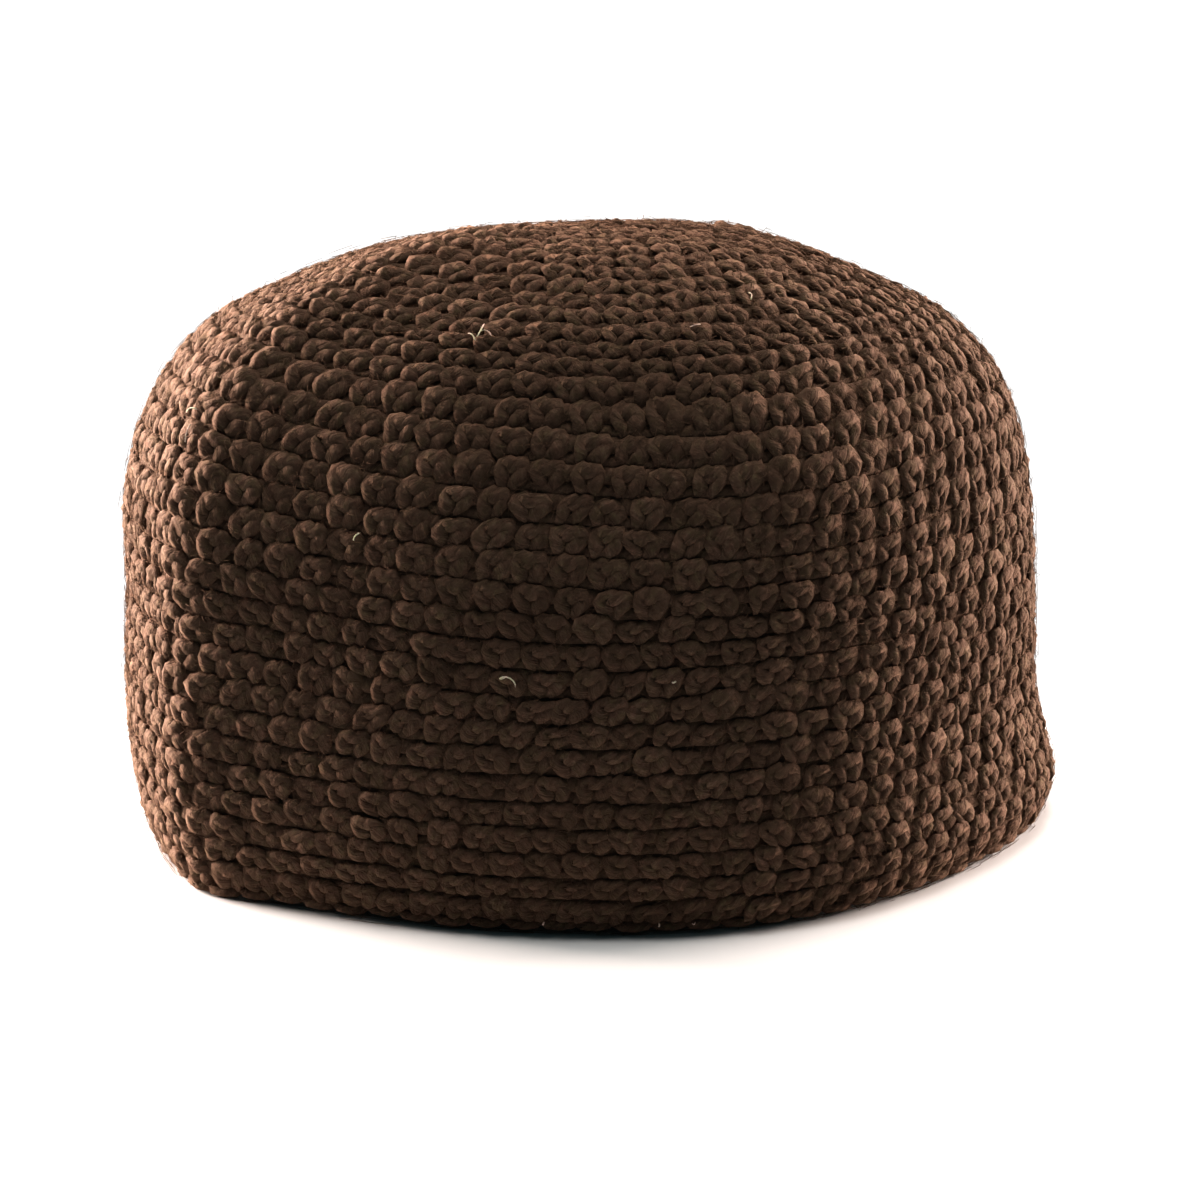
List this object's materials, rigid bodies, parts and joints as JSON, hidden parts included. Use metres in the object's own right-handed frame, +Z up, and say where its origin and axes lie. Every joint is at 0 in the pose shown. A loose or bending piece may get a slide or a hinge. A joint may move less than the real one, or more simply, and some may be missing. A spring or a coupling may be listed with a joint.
{
  "type": "crocheted kufi",
  "caption": "Brimless domed cap crocheted in rounds from one dark brown yarn, with a soft fold line from being stored flat, resting on its open edge.",
  "frame": {"origin": "below the middle of the cap, on the surface that its open edge rests on", "axes": "+Z up through the crown, +X to the right along the cap's longer side, -Y towards the side that shows in the picture"},
  "size_m": [0.2084, 0.1622, 0.13],
  "materials": {
    "yarn": "matte, fuzzy dark brown yarn"
  },
  "bodies": {
    "root": {"crocheted_cap": "yarn"}
  },
  "joints": []
}
